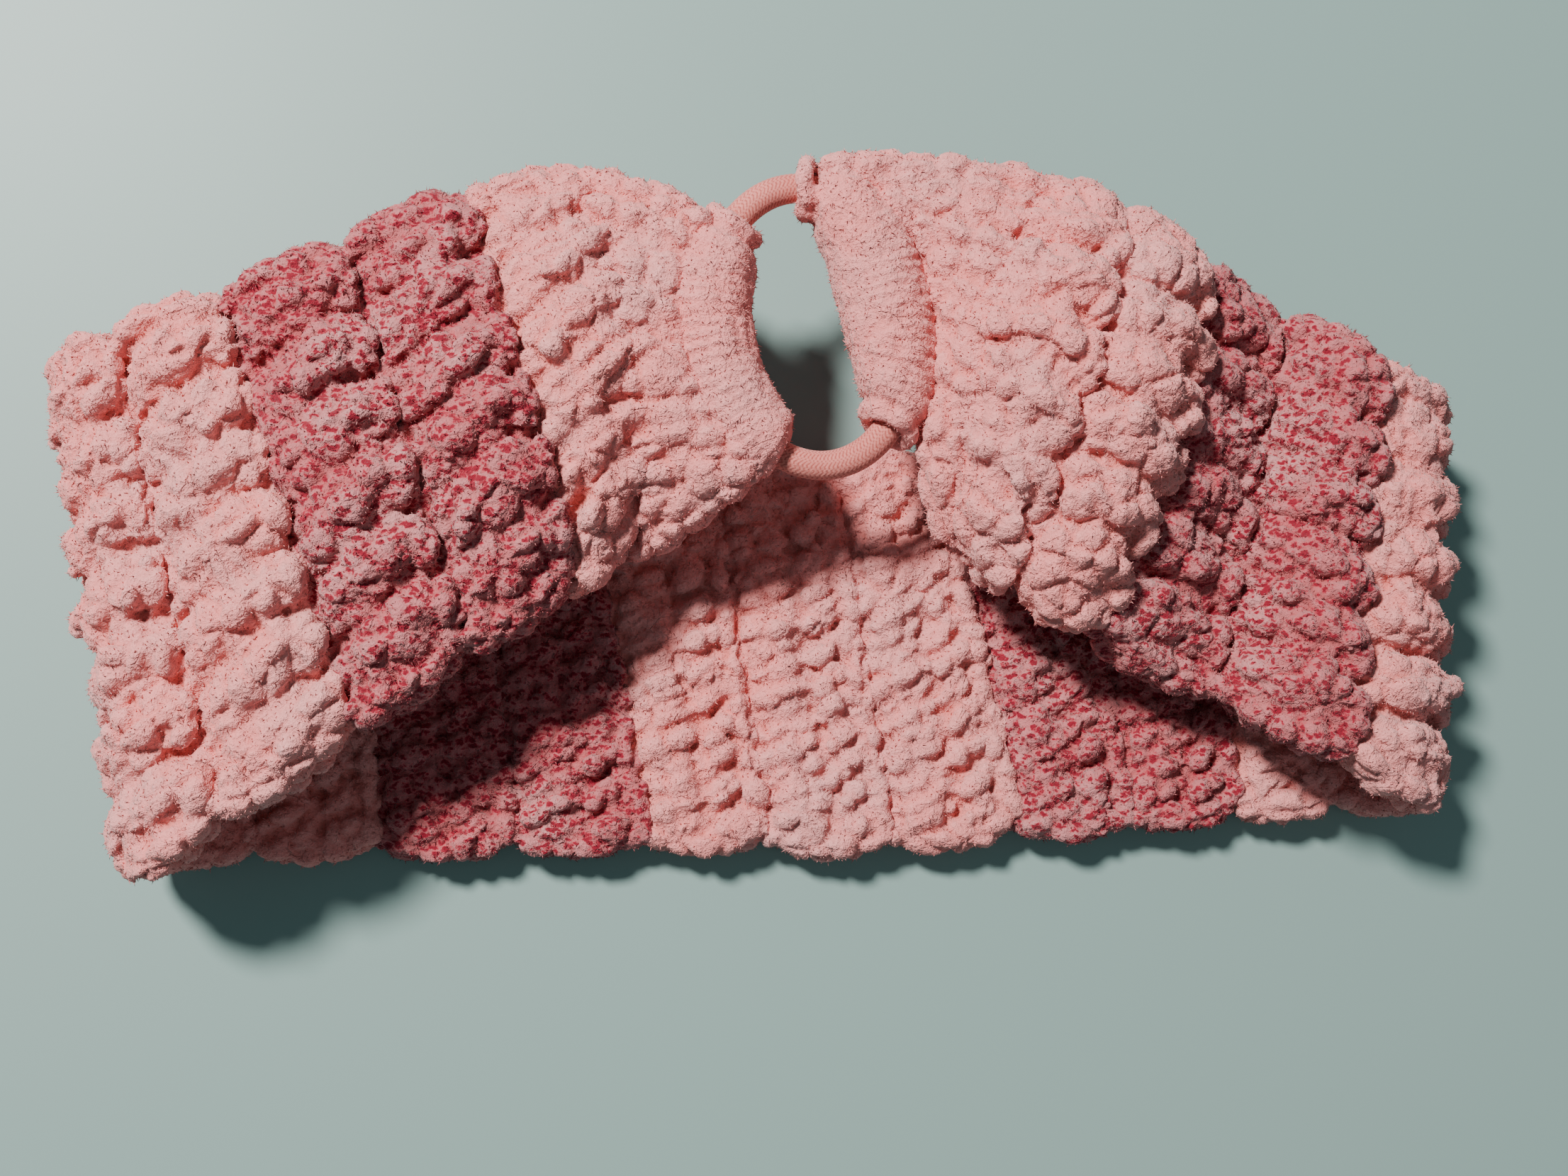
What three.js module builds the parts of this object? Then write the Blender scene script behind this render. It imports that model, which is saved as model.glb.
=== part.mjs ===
// Spa headband: a crocheted chenille band, folded flat on itself, whose two ends are worked round
// a covered hair elastic. Millimetres, +X along the folded band, +Y across it, +Z up off the table.
// The band is a closed loop: its back lies flat, each side folds up and over, and the two ends come
// together on top, at the elastic. Places on the band are given as "along" (distance from the
// middle of the back, negative towards the left end), "across" (-1 to 1) and "height" (from the
// middle of the fabric, positive on the outer side of the loop).
import * as THREE from "three";

// Crocheted fabric
const rowPitch = 21;          // one crochet row, measured along the band
const bandWidth = 66;         // of a row at the middle of the back
const rowGap = 0.6;           // between neighbouring rows
const bandThickness = 9;      // through the stitches
const rowNose = 0.6;          // half height of the line where two rows meet
const rowShoulder = 1.1;      // how far the lower shoulder of a row stands back from its nose
const rowCrown = 3.6;         // how far the full thickness stands back from the nose
const shoulderShare = 0.6;    // height of the lower shoulder, as a share of the full height
const rowSteps = 8;           // facets across the band
const edgeThin = 0.45;        // share of the thickness left at the two long edges of the band

// Colour of the rows, counted from the left end of the band
const stripes = [
  ["pink", 1], ["fleck", 2], ["pink", 4], ["fleck", 2], ["pink", 3],
  ["fleck", 2], ["pink", 3], ["fleck", 2], ["pink", 2],
];

// How the band lies: pairs of [rows from the middle of the back, value], joined by straight lines.
// Heading, course and lean are in degrees; spread is what the fabric is wider than the band's width,
// and bow is how far its two long edges curl towards the inside.
const backMiddle = new THREE.Vector2(3.3, -22.8);
const layLeft = {
  flatRows: 4.75,             // rows that lie flat before the side fold
  foldRadius: 11,             // to the middle of the fabric
  foldTurn: 160,              // degrees turned by the side fold
  heading: [[7.5, 170], [9.5, 184], [10.5, 196]],
  course: [[0, 0], [0.5, -3], [4.7, -4], [6.1, 30], [10.5, 30]],
  lean: [[0, 9], [0.5, 9], [1.5, 11], [3.5, 5], [5.5, 8], [7.5, 18], [9.5, 17], [10.5, 9]],
  spread: [[0.5, 0], [3.5, 8], [5, 14], [6.2, 14], [7.5, 5], [9.5, -2], [10.5, -12]],
  bow: [[0, 0], [6.5, 0], [7.5, 4], [9.5, 8], [10.5, 9]],
};
const layRight = {
  flatRows: 4.75,
  foldRadius: 9,
  foldTurn: 160,
  heading: [[6.5, 165], [7, 195], [7.5, 190], [8, 140], [8.8, 145], [9.5, 180], [10.5, 208]],
  course: [[0, 0], [0.5, 5], [4.7, 6], [6, -26], [10.5, -34]],
  lean: [[0, 9], [0.5, 9], [1.5, 12], [3.5, 7], [6.5, -6], [8.5, -17], [10.5, -18]],
  spread: [[0.5, 0], [3.5, 3], [5, 4], [6.5, 2], [7.5, 0], [8.5, -4], [9.5, -6], [10.5, -16]],
  bow: [[0, 0], [6.5, 0], [7.5, 3], [8.5, 6], [9.5, 9], [10.5, 9]],
};
const courseStep = 0.05;      // rows, step of the sum that follows the band

// Hair elastic
const cordDiameter = 4.7;
const coverWall = 0.7;        // knitted cover
const coreClearance = 0.15;   // between the rubber core and its cover
const loopHalfLength = 22.5;  // of the elastic's oval, across the band
const loopLean = 5.6;         // degrees, top of the oval towards the left end
const loopDrop = 3;           // elastic below the mean height of the two band ends
const loopShiftX = 1;         // of the oval from the midpoint of the two band ends
const loopShiftY = -2;
const joinAngle = -20;        // degrees round the oval, where the elastic's ends are glued
const joinLength = 2.4;
const joinGap = 0.3;
const cordSides = 10;
const elasticSteps = 44;
const joinSteps = 2;

// Wraps of yarn round the elastic, and the gathered stitches between them and the last rows
const sleeveDiameter = 11;
const sleeveClearance = 0.3;  // to the elastic
const leftSeatGap = 0.6;      // between the left wrap and its gathered stitches
const rightSeatGap = 2.6;     // the same on the right, where the band moves on the elastic
const gatherLength = 5;
const gatherThickness = 8;
const gatherThin = 3.5;       // thickness left where the gathered stitches meet the wrap
const gatherSwell = [[0.2, 0.7], [0.5, 1]];  // share of the length, share of the thickness
const gatherTaper = [[0.85, 1.5], [1, 1]];   // share of the length, times the thin end
const sleeveSteps = 14;
const leftSleeveArc = [135, 250];
const rightSleeveArc = [80, -45];
const leftGatherArc = [138, 246];
const rightGatherArc = [70, -38];

// Finishes
const pinkYarn = new THREE.MeshStandardMaterial({ color: 0xe7bfb8, roughness: 0.95, metalness: 0 });
const fleckYarn = new THREE.MeshStandardMaterial({ color: 0xc98a8c, roughness: 0.95, metalness: 0 });
const knitCover = new THREE.MeshStandardMaterial({ color: 0xdc9289, roughness: 0.8, metalness: 0 });
const rubber = new THREE.MeshStandardMaterial({ color: 0xc9a596, roughness: 0.6, metalness: 0 });
const glue = new THREE.MeshStandardMaterial({ color: 0xd08a80, roughness: 0.5, metalness: 0 });
const yarns = { pink: pinkYarn, fleck: fleckYarn };

const radians = THREE.MathUtils.degToRad;

// Value of a list of [place, value] pairs at a place
function follow(pairs, place) {
  if (place <= pairs[0][0]) return pairs[0][1];
  for (let i = 1; i < pairs.length; i += 1) {
    const [from, before] = pairs[i - 1];
    const [to, after] = pairs[i];
    if (place <= to) return before + ((after - before) * (place - from)) / (to - from);
  }
  return pairs[pairs.length - 1][1];
}

// Degrees by which the band has turned up and over at a number of rows from the middle
function headingAt(lay, rows) {
  const foldRows = (lay.foldRadius * radians(lay.foldTurn)) / rowPitch;
  const pairs = [[0, 0], [lay.flatRows, 0], [lay.flatRows + foldRows, lay.foldTurn], ...lay.heading];
  return radians(follow(pairs, rows));
}

function tangentAt(lay, side, rows) {
  const heading = headingAt(lay, rows);
  const course = radians(follow(lay.course, rows));
  const level = side * Math.cos(heading);
  return new THREE.Vector3(level * Math.cos(course), level * Math.sin(course), Math.sin(heading));
}

// Middle line of the band from the middle of the back to one end, as equal steps
function middleLine(lay, side, rowCount) {
  const points = [new THREE.Vector3(backMiddle.x, backMiddle.y, bandThickness / 2)];
  const count = Math.round(rowCount / courseStep);
  for (let i = 0; i < count; i += 1) {
    const step = tangentAt(lay, side, (i + 0.5) * courseStep).multiplyScalar(courseStep * rowPitch);
    points.push(points[i].clone().add(step));
  }
  return points;
}

const rowColours = stripes.flatMap(([colour, count]) => Array(count).fill(colour));
const rowsEachSide = (rowColours.length - 1) / 2;
const endRows = rowsEachSide + 0.5;
const leftLine = middleLine(layLeft, -1, endRows);
const rightLine = middleLine(layRight, 1, endRows);

// Frame of the band at a signed number of rows from the middle of the back
function stationAt(signedRows) {
  const side = signedRows < 0 ? -1 : 1;
  const lay = side < 0 ? layLeft : layRight;
  const line = side < 0 ? leftLine : rightLine;
  const rows = Math.abs(signedRows);
  const place = Math.min(rows / courseStep, line.length - 1);
  const index = Math.min(Math.floor(place), line.length - 2);
  const centre = line[index].clone().lerp(line[index + 1], place - index);
  const lean = radians(follow(lay.lean, rows));
  const rib = new THREE.Vector3(-Math.sin(lean), Math.cos(lean), 0);
  const outward = rib.clone().cross(tangentAt(lay, side, rows)).multiplyScalar(side).normalize();
  const halfWidth = (bandWidth + follow(lay.spread, rows)) / 2;
  return { centre, rib, outward, halfWidth, bow: follow(lay.bow, rows) };
}

function bandPoint(signedRows, across, height) {
  const { centre, rib, outward, halfWidth, bow } = stationAt(signedRows);
  const point = centre.addScaledVector(rib, across * halfWidth);
  return point.addScaledVector(outward, height - bow * across * across);
}

// Closed section from the upper half of its outline, mirrored about the middle of the fabric
function closedSection(upper) {
  const lower = upper.map(([x, y]) => new THREE.Vector2(x, -y));
  const back = upper.map(([x, y]) => new THREE.Vector2(x, y)).reverse();
  return new THREE.Shape([...lower, ...back]);
}

// Section of a strip of stitches: x along the strip, y through it
function stripSection(length, thickness) {
  const half = thickness / 2;
  return closedSection([
    [0, rowNose], [rowShoulder, half * shoulderShare], [rowCrown, half], [length / 2, half],
    [length - rowCrown, half], [length - rowShoulder, half * shoulderShare], [length, rowNose],
  ]);
}

// Extrudes a section across the band, from -1 to 1, and bends it into place
function bentStrip(section, place) {
  const settings = { depth: 2, steps: rowSteps, bevelEnabled: false };
  const geometry = new THREE.ExtrudeGeometry(section, settings);
  const position = geometry.attributes.position;
  const vertex = new THREE.Vector3();
  for (let i = 0; i < position.count; i += 1) {
    vertex.fromBufferAttribute(position, i);
    const across = vertex.z - 1;
    const thin = Math.abs(across) > 1 - 1 / rowSteps ? edgeThin : 1;
    const moved = place(vertex.x, across, vertex.y * thin);
    position.setXYZ(i, moved.x, moved.y, moved.z);
  }
  geometry.computeVertexNormals();
  return facingOut(geometry);
}

// Turns every triangle over if the closed shape encloses a negative volume
function facingOut(geometry) {
  const position = geometry.attributes.position;
  const [a, b, c] = [new THREE.Vector3(), new THREE.Vector3(), new THREE.Vector3()];
  let volume = 0;
  for (let i = 0; i < position.count; i += 3) {
    a.fromBufferAttribute(position, i);
    b.fromBufferAttribute(position, i + 1);
    c.fromBufferAttribute(position, i + 2);
    volume += a.dot(b.cross(c));
  }
  if (volume > 0) return geometry;
  for (let i = 0; i < position.count; i += 3) {
    b.fromBufferAttribute(position, i + 1);
    c.fromBufferAttribute(position, i + 2);
    position.setXYZ(i + 1, c.x, c.y, c.z);
    position.setXYZ(i + 2, b.x, b.y, b.z);
  }
  return geometry;
}

// One crochet row, by its place counted from the middle of the back
function rowGeometry(place) {
  const section = stripSection(rowPitch - rowGap, bandThickness);
  const start = place - 0.5 + rowGap / 2 / rowPitch;
  return bentStrip(section, (along, across, height) =>
    bandPoint(start + along / rowPitch, across, height));
}

// Oval of the elastic: it spans what the two band ends leave between them
const leftEnd = stationAt(-endRows);
const rightEnd = stationAt(endRows);
const loopCentre = leftEnd.centre.clone().add(rightEnd.centre).multiplyScalar(0.5);
loopCentre.add(new THREE.Vector3(loopShiftX, loopShiftY, -loopDrop));
const loopAcross = rightEnd.centre.clone().sub(leftEnd.centre).setZ(0);
const loopHalfWidth = loopAcross.length() / 2 - gatherLength - sleeveDiameter / 2;
loopAcross.normalize();
const loopUp = new THREE.Vector3(-Math.sin(radians(loopLean)), Math.cos(radians(loopLean)), 0);

class OvalArc extends THREE.Curve {
  constructor(from, to) {
    super();
    this.from = radians(from);
    this.to = radians(to);
  }

  getPoint(t) {
    return ovalPoint(this.from + (this.to - this.from) * t, 0);
  }
}

// Point of the oval at an angle, moved out of the oval in its own plane
function ovalPoint(angle, out) {
  const acrossSize = loopHalfWidth * Math.cos(angle);
  const upSize = loopHalfLength * Math.sin(angle);
  const normal = new THREE.Vector2(loopHalfLength * Math.cos(angle), loopHalfWidth * Math.sin(angle));
  normal.normalize().multiplyScalar(out);
  const point = loopCentre.clone().addScaledVector(loopAcross, acrossSize + normal.x);
  return point.addScaledVector(loopUp, upSize + normal.y);
}

function roundSection(radius, boreRadius) {
  const shape = polygon(new THREE.Shape(), radius);
  if (boreRadius > 0) shape.holes.push(polygon(new THREE.Path(), boreRadius));
  return shape;
}

function polygon(path, radius) {
  for (let i = 0; i < cordSides; i += 1) {
    const angle = (2 * Math.PI * i) / cordSides;
    const [x, y] = [radius * Math.cos(angle), radius * Math.sin(angle)];
    if (i === 0) path.moveTo(x, y);
    else path.lineTo(x, y);
  }
  path.closePath();
  return path;
}

function ovalTube(section, arc, steps) {
  const settings = { steps, bevelEnabled: false, extrudePath: new OvalArc(arc[0], arc[1]) };
  return facingOut(new THREE.ExtrudeGeometry(section, settings));
}

// Gathered stitches from the last row of one side to the wrap round the elastic
function gatherGeometry(side, arc, seatGap) {
  const end = side * endRows;
  return bentStrip(gatherSection(), (share, across, height) => {
    const angle = radians(arc[0] + ((arc[1] - arc[0]) * (1 - across)) / 2);
    const start = bandPoint(end, across, 0);
    const finish = ovalPoint(angle, sleeveDiameter / 2 + seatGap);
    const bandward = finish.clone().sub(start).normalize();
    start.addScaledVector(bandward, rowGap / 2);
    const { outward } = stationAt(end);
    const normal = outward.lerp(new THREE.Vector3(0, 0, 1), share).normalize();
    return start.lerp(finish, share).addScaledVector(normal, height);
  });
}

// Wedge-shaped section of the gathered stitches: x is a share of their length
function gatherSection() {
  const swell = gatherSwell.map(([share, height]) => [share, (height * gatherThickness) / 2]);
  const taper = gatherTaper.map(([share, height]) => [share, (height * gatherThin) / 2]);
  return closedSection([[0, rowNose], ...swell, ...taper]);
}

const headband = new THREE.Group();

function addPiece(name, geometry, material) {
  const piece = new THREE.Mesh(geometry, material);
  piece.name = name;
  headband.add(piece);
}

rowColours.forEach((colour, index) => {
  const number = String(index + 1).padStart(2, "0");
  addPiece(`row_${number}_${colour}`, rowGeometry(index - rowsEachSide), yarns[colour]);
});

addPiece("left_gather", gatherGeometry(-1, leftGatherArc, leftSeatGap), pinkYarn);
addPiece("right_gather", gatherGeometry(1, rightGatherArc, rightSeatGap), pinkYarn);

const cordRadius = cordDiameter / 2;
const sleeveSection = roundSection(sleeveDiameter / 2, cordRadius + sleeveClearance);
addPiece("left_wrap", ovalTube(sleeveSection, leftSleeveArc, sleeveSteps), pinkYarn);
addPiece("right_wrap", ovalTube(sleeveSection, rightSleeveArc, sleeveSteps), pinkYarn);

// Elastic: rubber core, knitted cover and the glued join between their ends
const joinHalf = THREE.MathUtils.radToDeg(joinLength / 2 / loopHalfLength);
const gapHalf = THREE.MathUtils.radToDeg(joinGap / loopHalfLength);
const joinArc = [joinAngle - joinHalf, joinAngle + joinHalf];
const elasticArc = [joinArc[1] + gapHalf, joinArc[0] - gapHalf + 360];
const coverBore = cordRadius - coverWall;
const coreSection = roundSection(coverBore - coreClearance, 0);
const coverSection = roundSection(cordRadius, coverBore);
const joinSection = roundSection(cordRadius, 0);
addPiece("elastic_core", ovalTube(coreSection, elasticArc, elasticSteps), rubber);
addPiece("elastic_cover", ovalTube(coverSection, elasticArc, elasticSteps), knitCover);
addPiece("elastic_join", ovalTube(joinSection, joinArc, joinSteps), glue);

export default headband;
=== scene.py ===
import math
import random

import bmesh
import bpy
import numpy as np
from mathutils import Matrix, Vector


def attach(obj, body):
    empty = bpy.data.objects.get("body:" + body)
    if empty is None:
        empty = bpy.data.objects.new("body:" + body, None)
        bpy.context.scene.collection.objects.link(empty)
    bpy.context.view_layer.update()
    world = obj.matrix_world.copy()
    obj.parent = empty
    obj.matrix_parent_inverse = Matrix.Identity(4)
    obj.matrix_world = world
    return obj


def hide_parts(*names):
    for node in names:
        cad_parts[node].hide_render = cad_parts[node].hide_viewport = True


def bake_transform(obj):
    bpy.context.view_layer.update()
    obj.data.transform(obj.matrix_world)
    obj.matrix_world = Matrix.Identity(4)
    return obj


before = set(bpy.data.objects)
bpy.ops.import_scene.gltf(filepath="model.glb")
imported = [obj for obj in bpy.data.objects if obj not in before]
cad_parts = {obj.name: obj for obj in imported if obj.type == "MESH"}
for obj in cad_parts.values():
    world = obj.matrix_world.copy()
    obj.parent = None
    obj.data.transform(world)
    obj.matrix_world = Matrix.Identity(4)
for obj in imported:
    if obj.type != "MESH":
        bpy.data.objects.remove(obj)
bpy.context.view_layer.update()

mm = 0.001

# How the band lies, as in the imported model: pairs of [rows from the middle of the back, value]
band = {
    "pitch": 21.0, "width": 66.0, "thickness": 9.0, "middle": (3.3, -22.8), "rowsEachSide": 10, "step": 0.05,
    "stripes": [("pink", 1), ("fleck", 2), ("pink", 4), ("fleck", 2), ("pink", 3),
                ("fleck", 2), ("pink", 3), ("fleck", 2), ("pink", 2)],
}
layLeft = {
    "side": -1, "flatRows": 4.75, "foldRadius": 11, "foldTurn": 160,
    "heading": [(7.5, 170), (9.5, 184), (10.5, 196)],
    "course": [(0, 0), (0.5, -3), (4.7, -4), (6.1, 30), (10.5, 30)],
    "lean": [(0, 9), (0.5, 9), (1.5, 11), (3.5, 5), (5.5, 8), (7.5, 18), (9.5, 17), (10.5, 9)],
    "spread": [(0.5, 0), (3.5, 8), (5, 14), (6.2, 14), (7.5, 5), (9.5, -2), (10.5, -12)],
    "bow": [(0, 0), (6.5, 0), (7.5, 4), (9.5, 8), (10.5, 9)],
}
layRight = {
    "side": 1, "flatRows": 4.75, "foldRadius": 9, "foldTurn": 160,
    "heading": [(6.5, 165), (7, 195), (7.5, 190), (8, 140), (8.8, 145), (9.5, 180), (10.5, 208)],
    "course": [(0, 0), (0.5, 5), (4.7, 6), (6, -26), (10.5, -34)],
    "lean": [(0, 9), (0.5, 9), (1.5, 12), (3.5, 7), (6.5, -6), (8.5, -17), (10.5, -18)],
    "spread": [(0.5, 0), (3.5, 3), (5, 4), (6.5, 2), (7.5, 0), (8.5, -4), (9.5, -6), (10.5, -16)],
    "bow": [(0, 0), (6.5, 0), (7.5, 3), (8.5, 6), (9.5, 9), (10.5, 9)],
}


def follow(pairs, place):
    return float(np.interp(place, [p[0] for p in pairs], [p[1] for p in pairs]))


def tangentAt(lay, rows):
    foldRows = lay["foldRadius"] * math.radians(lay["foldTurn"]) / band["pitch"]
    turn = [(0, 0), (lay["flatRows"], 0), (lay["flatRows"] + foldRows, lay["foldTurn"])] + lay["heading"]
    heading = math.radians(follow(turn, rows))
    course = math.radians(follow(lay["course"], rows))
    level = lay["side"] * math.cos(heading)
    return Vector((level * math.cos(course), level * math.sin(course), math.sin(heading)))


def layStations(lay):  # the band's frame at every step from the middle of the back to one end
    centre = Vector((*band["middle"], band["thickness"] / 2))
    stations = []
    for i in range(round((band["rowsEachSide"] + 0.5) / band["step"]) + 1):
        rows = i * band["step"]
        lean = math.radians(follow(lay["lean"], rows))
        rib = Vector((-math.sin(lean), math.cos(lean), 0))
        outward = (rib.cross(tangentAt(lay, rows)) * lay["side"]).normalized()
        halfWidth = (band["width"] + follow(lay["spread"], rows)) / 2
        stations.append((*centre, *rib, *outward, halfWidth, follow(lay["bow"], rows)))
        centre = centre + tangentAt(lay, rows + band["step"] / 2) * (band["step"] * band["pitch"])
    return np.array(stations)


leftStations = layStations(layLeft)
rightStations = layStations(layRight)
allStations = np.vstack([leftStations[:0:-1], rightStations])
stationRows = (np.arange(len(allStations)) - (len(leftStations) - 1)) * band["step"]
endRows = band["rowsEachSide"] + 0.5


def stationsAt(rows):  # centre, rib, outward, half width and bow at signed rows
    rows = np.atleast_1d(rows)
    values = np.stack([np.interp(rows, stationRows, column) for column in allStations.T], axis=1)
    return values[:, 0:3], values[:, 3:6], values[:, 6:9], values[:, 9:10], values[:, 10:11]


def bandPoints(rows, across, height):  # signed rows, -1..1 across, mm off the middle of the fabric
    centre, rib, outward, halfWidth, bow = stationsAt(rows)
    across, height = np.reshape(across, (-1, 1)), np.reshape(height, (-1, 1))
    return centre + rib * (across * halfWidth) + outward * (height - bow * across * across)


# Camera and light
view = {"eye": (-27.7, -33.8, 300), "target": (0.8, -11.8, 15), "lens": 39.6, "sensor": 36,
        "near": 0.01, "far": 10}


def makeCamera():
    data = bpy.data.cameras.new("viewCamera")
    data.lens = view["lens"]
    data.sensor_width = view["sensor"]
    data.clip_start = view["near"]
    data.clip_end = view["far"]
    camera = bpy.data.objects.new("viewCamera", data)
    bpy.context.collection.objects.link(camera)
    eye = Vector(view["eye"]) * mm
    forward = (Vector(view["target"]) * mm - eye).normalized()
    right = forward.cross(Vector((0, 1, 0))).normalized()
    up = right.cross(forward)
    turn = Matrix((right, up, -forward)).transposed()
    camera.matrix_world = Matrix.Translation(eye) @ turn.to_4x4()
    bpy.context.scene.camera = camera


lights = {
    "key": {
        "direction": (-0.58, 0.55, 1.0), "distance": 1.1, "size": 0.18,
        "power": 27, "colour": (1, 0.97, 0.92),
    },
    "fill": {
        "direction": (0.5, -0.6, 0.9), "distance": 1.2, "size": 1.2,
        "power": 1.1, "colour": (1, 0.93, 0.9),
    },
    "skyColour": (0.5, 0.86, 0.92), "skyStrength": 0.17,
}


def makeLight(name):
    settings = lights[name]
    data = bpy.data.lights.new(name, "AREA")
    data.shape = "DISK"
    data.size = settings["size"]
    data.energy = settings["power"]
    data.color = settings["colour"]
    lamp = bpy.data.objects.new(name, data)
    bpy.context.collection.objects.link(lamp)
    lamp.location = Vector(settings["direction"]).normalized() * settings["distance"]
    lamp.rotation_euler = (-lamp.location).to_track_quat("-Z", "Y").to_euler()


def makeWorld():
    world = bpy.data.worlds.new("room")
    world.use_nodes = True
    background = world.node_tree.nodes["Background"]
    background.inputs["Color"].default_value = (*lights["skyColour"], 1)
    background.inputs["Strength"].default_value = lights["skyStrength"]
    bpy.context.scene.world = world


# Node helpers
def newMaterial(name):
    material = bpy.data.materials.new(name)
    material.use_nodes = True
    tree = material.node_tree
    return material, tree, tree.nodes["Principled BSDF"]


def addTexture(tree, place, kind, scale, **settings):
    node = tree.nodes.new(kind)
    node.inputs["Scale"].default_value = scale
    for key, value in settings.items():
        if hasattr(node, key):
            setattr(node, key, value)
        else:
            node.inputs[key].default_value = value
    tree.links.new(place, node.inputs["Vector"])
    return node


def addMath(tree, operation, first, second):
    node = tree.nodes.new("ShaderNodeMath")
    node.operation = operation
    for socket, value in zip(node.inputs, (first, second)):
        if isinstance(value, (int, float)):
            socket.default_value = value
        else:
            tree.links.new(value, socket)
    return node.outputs[0]


def addRamp(tree, factor, stops):
    ramp = tree.nodes.new("ShaderNodeValToRGB")
    while len(ramp.color_ramp.elements) < len(stops):
        ramp.color_ramp.elements.new(0.5)
    for element, (place, colour) in zip(ramp.color_ramp.elements, stops):
        element.position = place
        element.color = (*colour, 1) if isinstance(colour, tuple) else (colour, colour, colour, 1)
    tree.links.new(factor, ramp.inputs["Fac"])
    return ramp.outputs["Color"]


def addMix(tree, factor, first, second, blend="MIX"):
    mix = tree.nodes.new("ShaderNodeMix")
    mix.data_type = "RGBA"
    mix.blend_type = blend
    for socket, value in ((mix.inputs[6], first), (mix.inputs[7], second)):
        if isinstance(value, tuple):
            socket.default_value = (*value, 1)
        else:
            tree.links.new(value, socket)
    if isinstance(factor, (int, float)):
        mix.inputs[0].default_value = factor
    else:
        tree.links.new(factor, mix.inputs[0])
    return mix.outputs[2]


def addBump(tree, height, distance, strength, under=None):
    bump = tree.nodes.new("ShaderNodeBump")
    bump.inputs["Strength"].default_value = strength
    bump.inputs["Distance"].default_value = distance
    tree.links.new(height, bump.inputs["Height"])
    if under:
        tree.links.new(under, bump.inputs["Normal"])
    return bump.outputs["Normal"]


yarn = {
    # painted light and shade: the crease colours are painted shade in the creases, the tip colours are
    # painted light on the tips; body is the yarn's own colour
    "litTip": (0.873, 0.344, 0.336), "body": (0.815, 0.248, 0.235), "paintedShade": (0.60, 0.14, 0.11),
    "litFleckTip": (0.54, 0.195, 0.21), "fleckBody": (0.47, 0.11, 0.12), "shadedFleckCrease": (0.30, 0.025, 0.035),
    "dust": (0.66, 0.38, 0.38), "fleck": (0.21, 0.004, 0.018), "fleckSoft": (0.42, 0.04, 0.06),
    "roughness": 0.95, "specular": 0.15,
    "sheen": 0.25, "sheenRoughness": 0.5, "sheenTint": (1, 0.88, 0.86),
    "paintedShadeEnd": 0.05, "bodyAt": 0.42, "litTipFrom": 0.85,  # steps of the painted shade attribute: painted shade in the creases, the yarn's own body colour, then painted light on the tips
    "pileScale": 1900, "clumpScale": 520, "shadeScale": 60, "patchScale": 140,
    "warp": 0.0035,                                      # bends the partings and the flecks
    "partingScale": 165, "partingWidth": 0.022, "partingShadeShare": 0.22,
    "clumpBump": (0.0011, 0.75), "partingBump": (0.0004, 0.6), "pileBump": (0.0006, 0.75),
    "fleckScale": 820, "fleckStretch": (0.6, 1.2, 1), "fleckTurn": (0, 0, 0.4),
    "stirScale": 900, "stir": 0.0022, "flockScale": 210, "flockShare": 0.26, "fleckShadeShare": 0.12,
}


def addFlecks(tree, place, warp, paintedShade, colour):  # short dark strokes, made thicker in the creases as painted shade
    stir = addTexture(tree, place, "ShaderNodeTexNoise", yarn["stirScale"], Detail=2.5)
    stretch = tree.nodes.new("ShaderNodeMapping")
    stretch.inputs["Scale"].default_value = yarn["fleckStretch"]
    stretch.inputs["Rotation"].default_value = yarn["fleckTurn"]
    tree.links.new(addMix(tree, yarn["stir"], warp, stir.outputs["Color"]), stretch.inputs["Vector"])
    spots = addTexture(tree, stretch.outputs[0], "ShaderNodeTexVoronoi", yarn["fleckScale"])
    flock = addTexture(tree, place, "ShaderNodeTexNoise", yarn["flockScale"], Detail=1.0)
    reach = addMath(tree, "MULTIPLY", flock.outputs["Fac"], yarn["flockShare"])
    reach = addMath(tree, "SUBTRACT", spots.outputs["Distance"], reach)
    # painted shade: the flecks reach further where the painted shade attribute is low, in the creases
    reach = addMath(tree, "ADD", reach, addMath(tree, "MULTIPLY", paintedShade, yarn["fleckShadeShare"]))
    soft = addRamp(tree, reach, [(0.30, 1.0), (0.50, 0.0)])
    hard = addRamp(tree, reach, [(0.24, 0.9), (0.38, 0.0)])
    colour = addMix(tree, soft, colour, yarn["fleckSoft"])
    return addMix(tree, hard, colour, yarn["fleck"])


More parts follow.
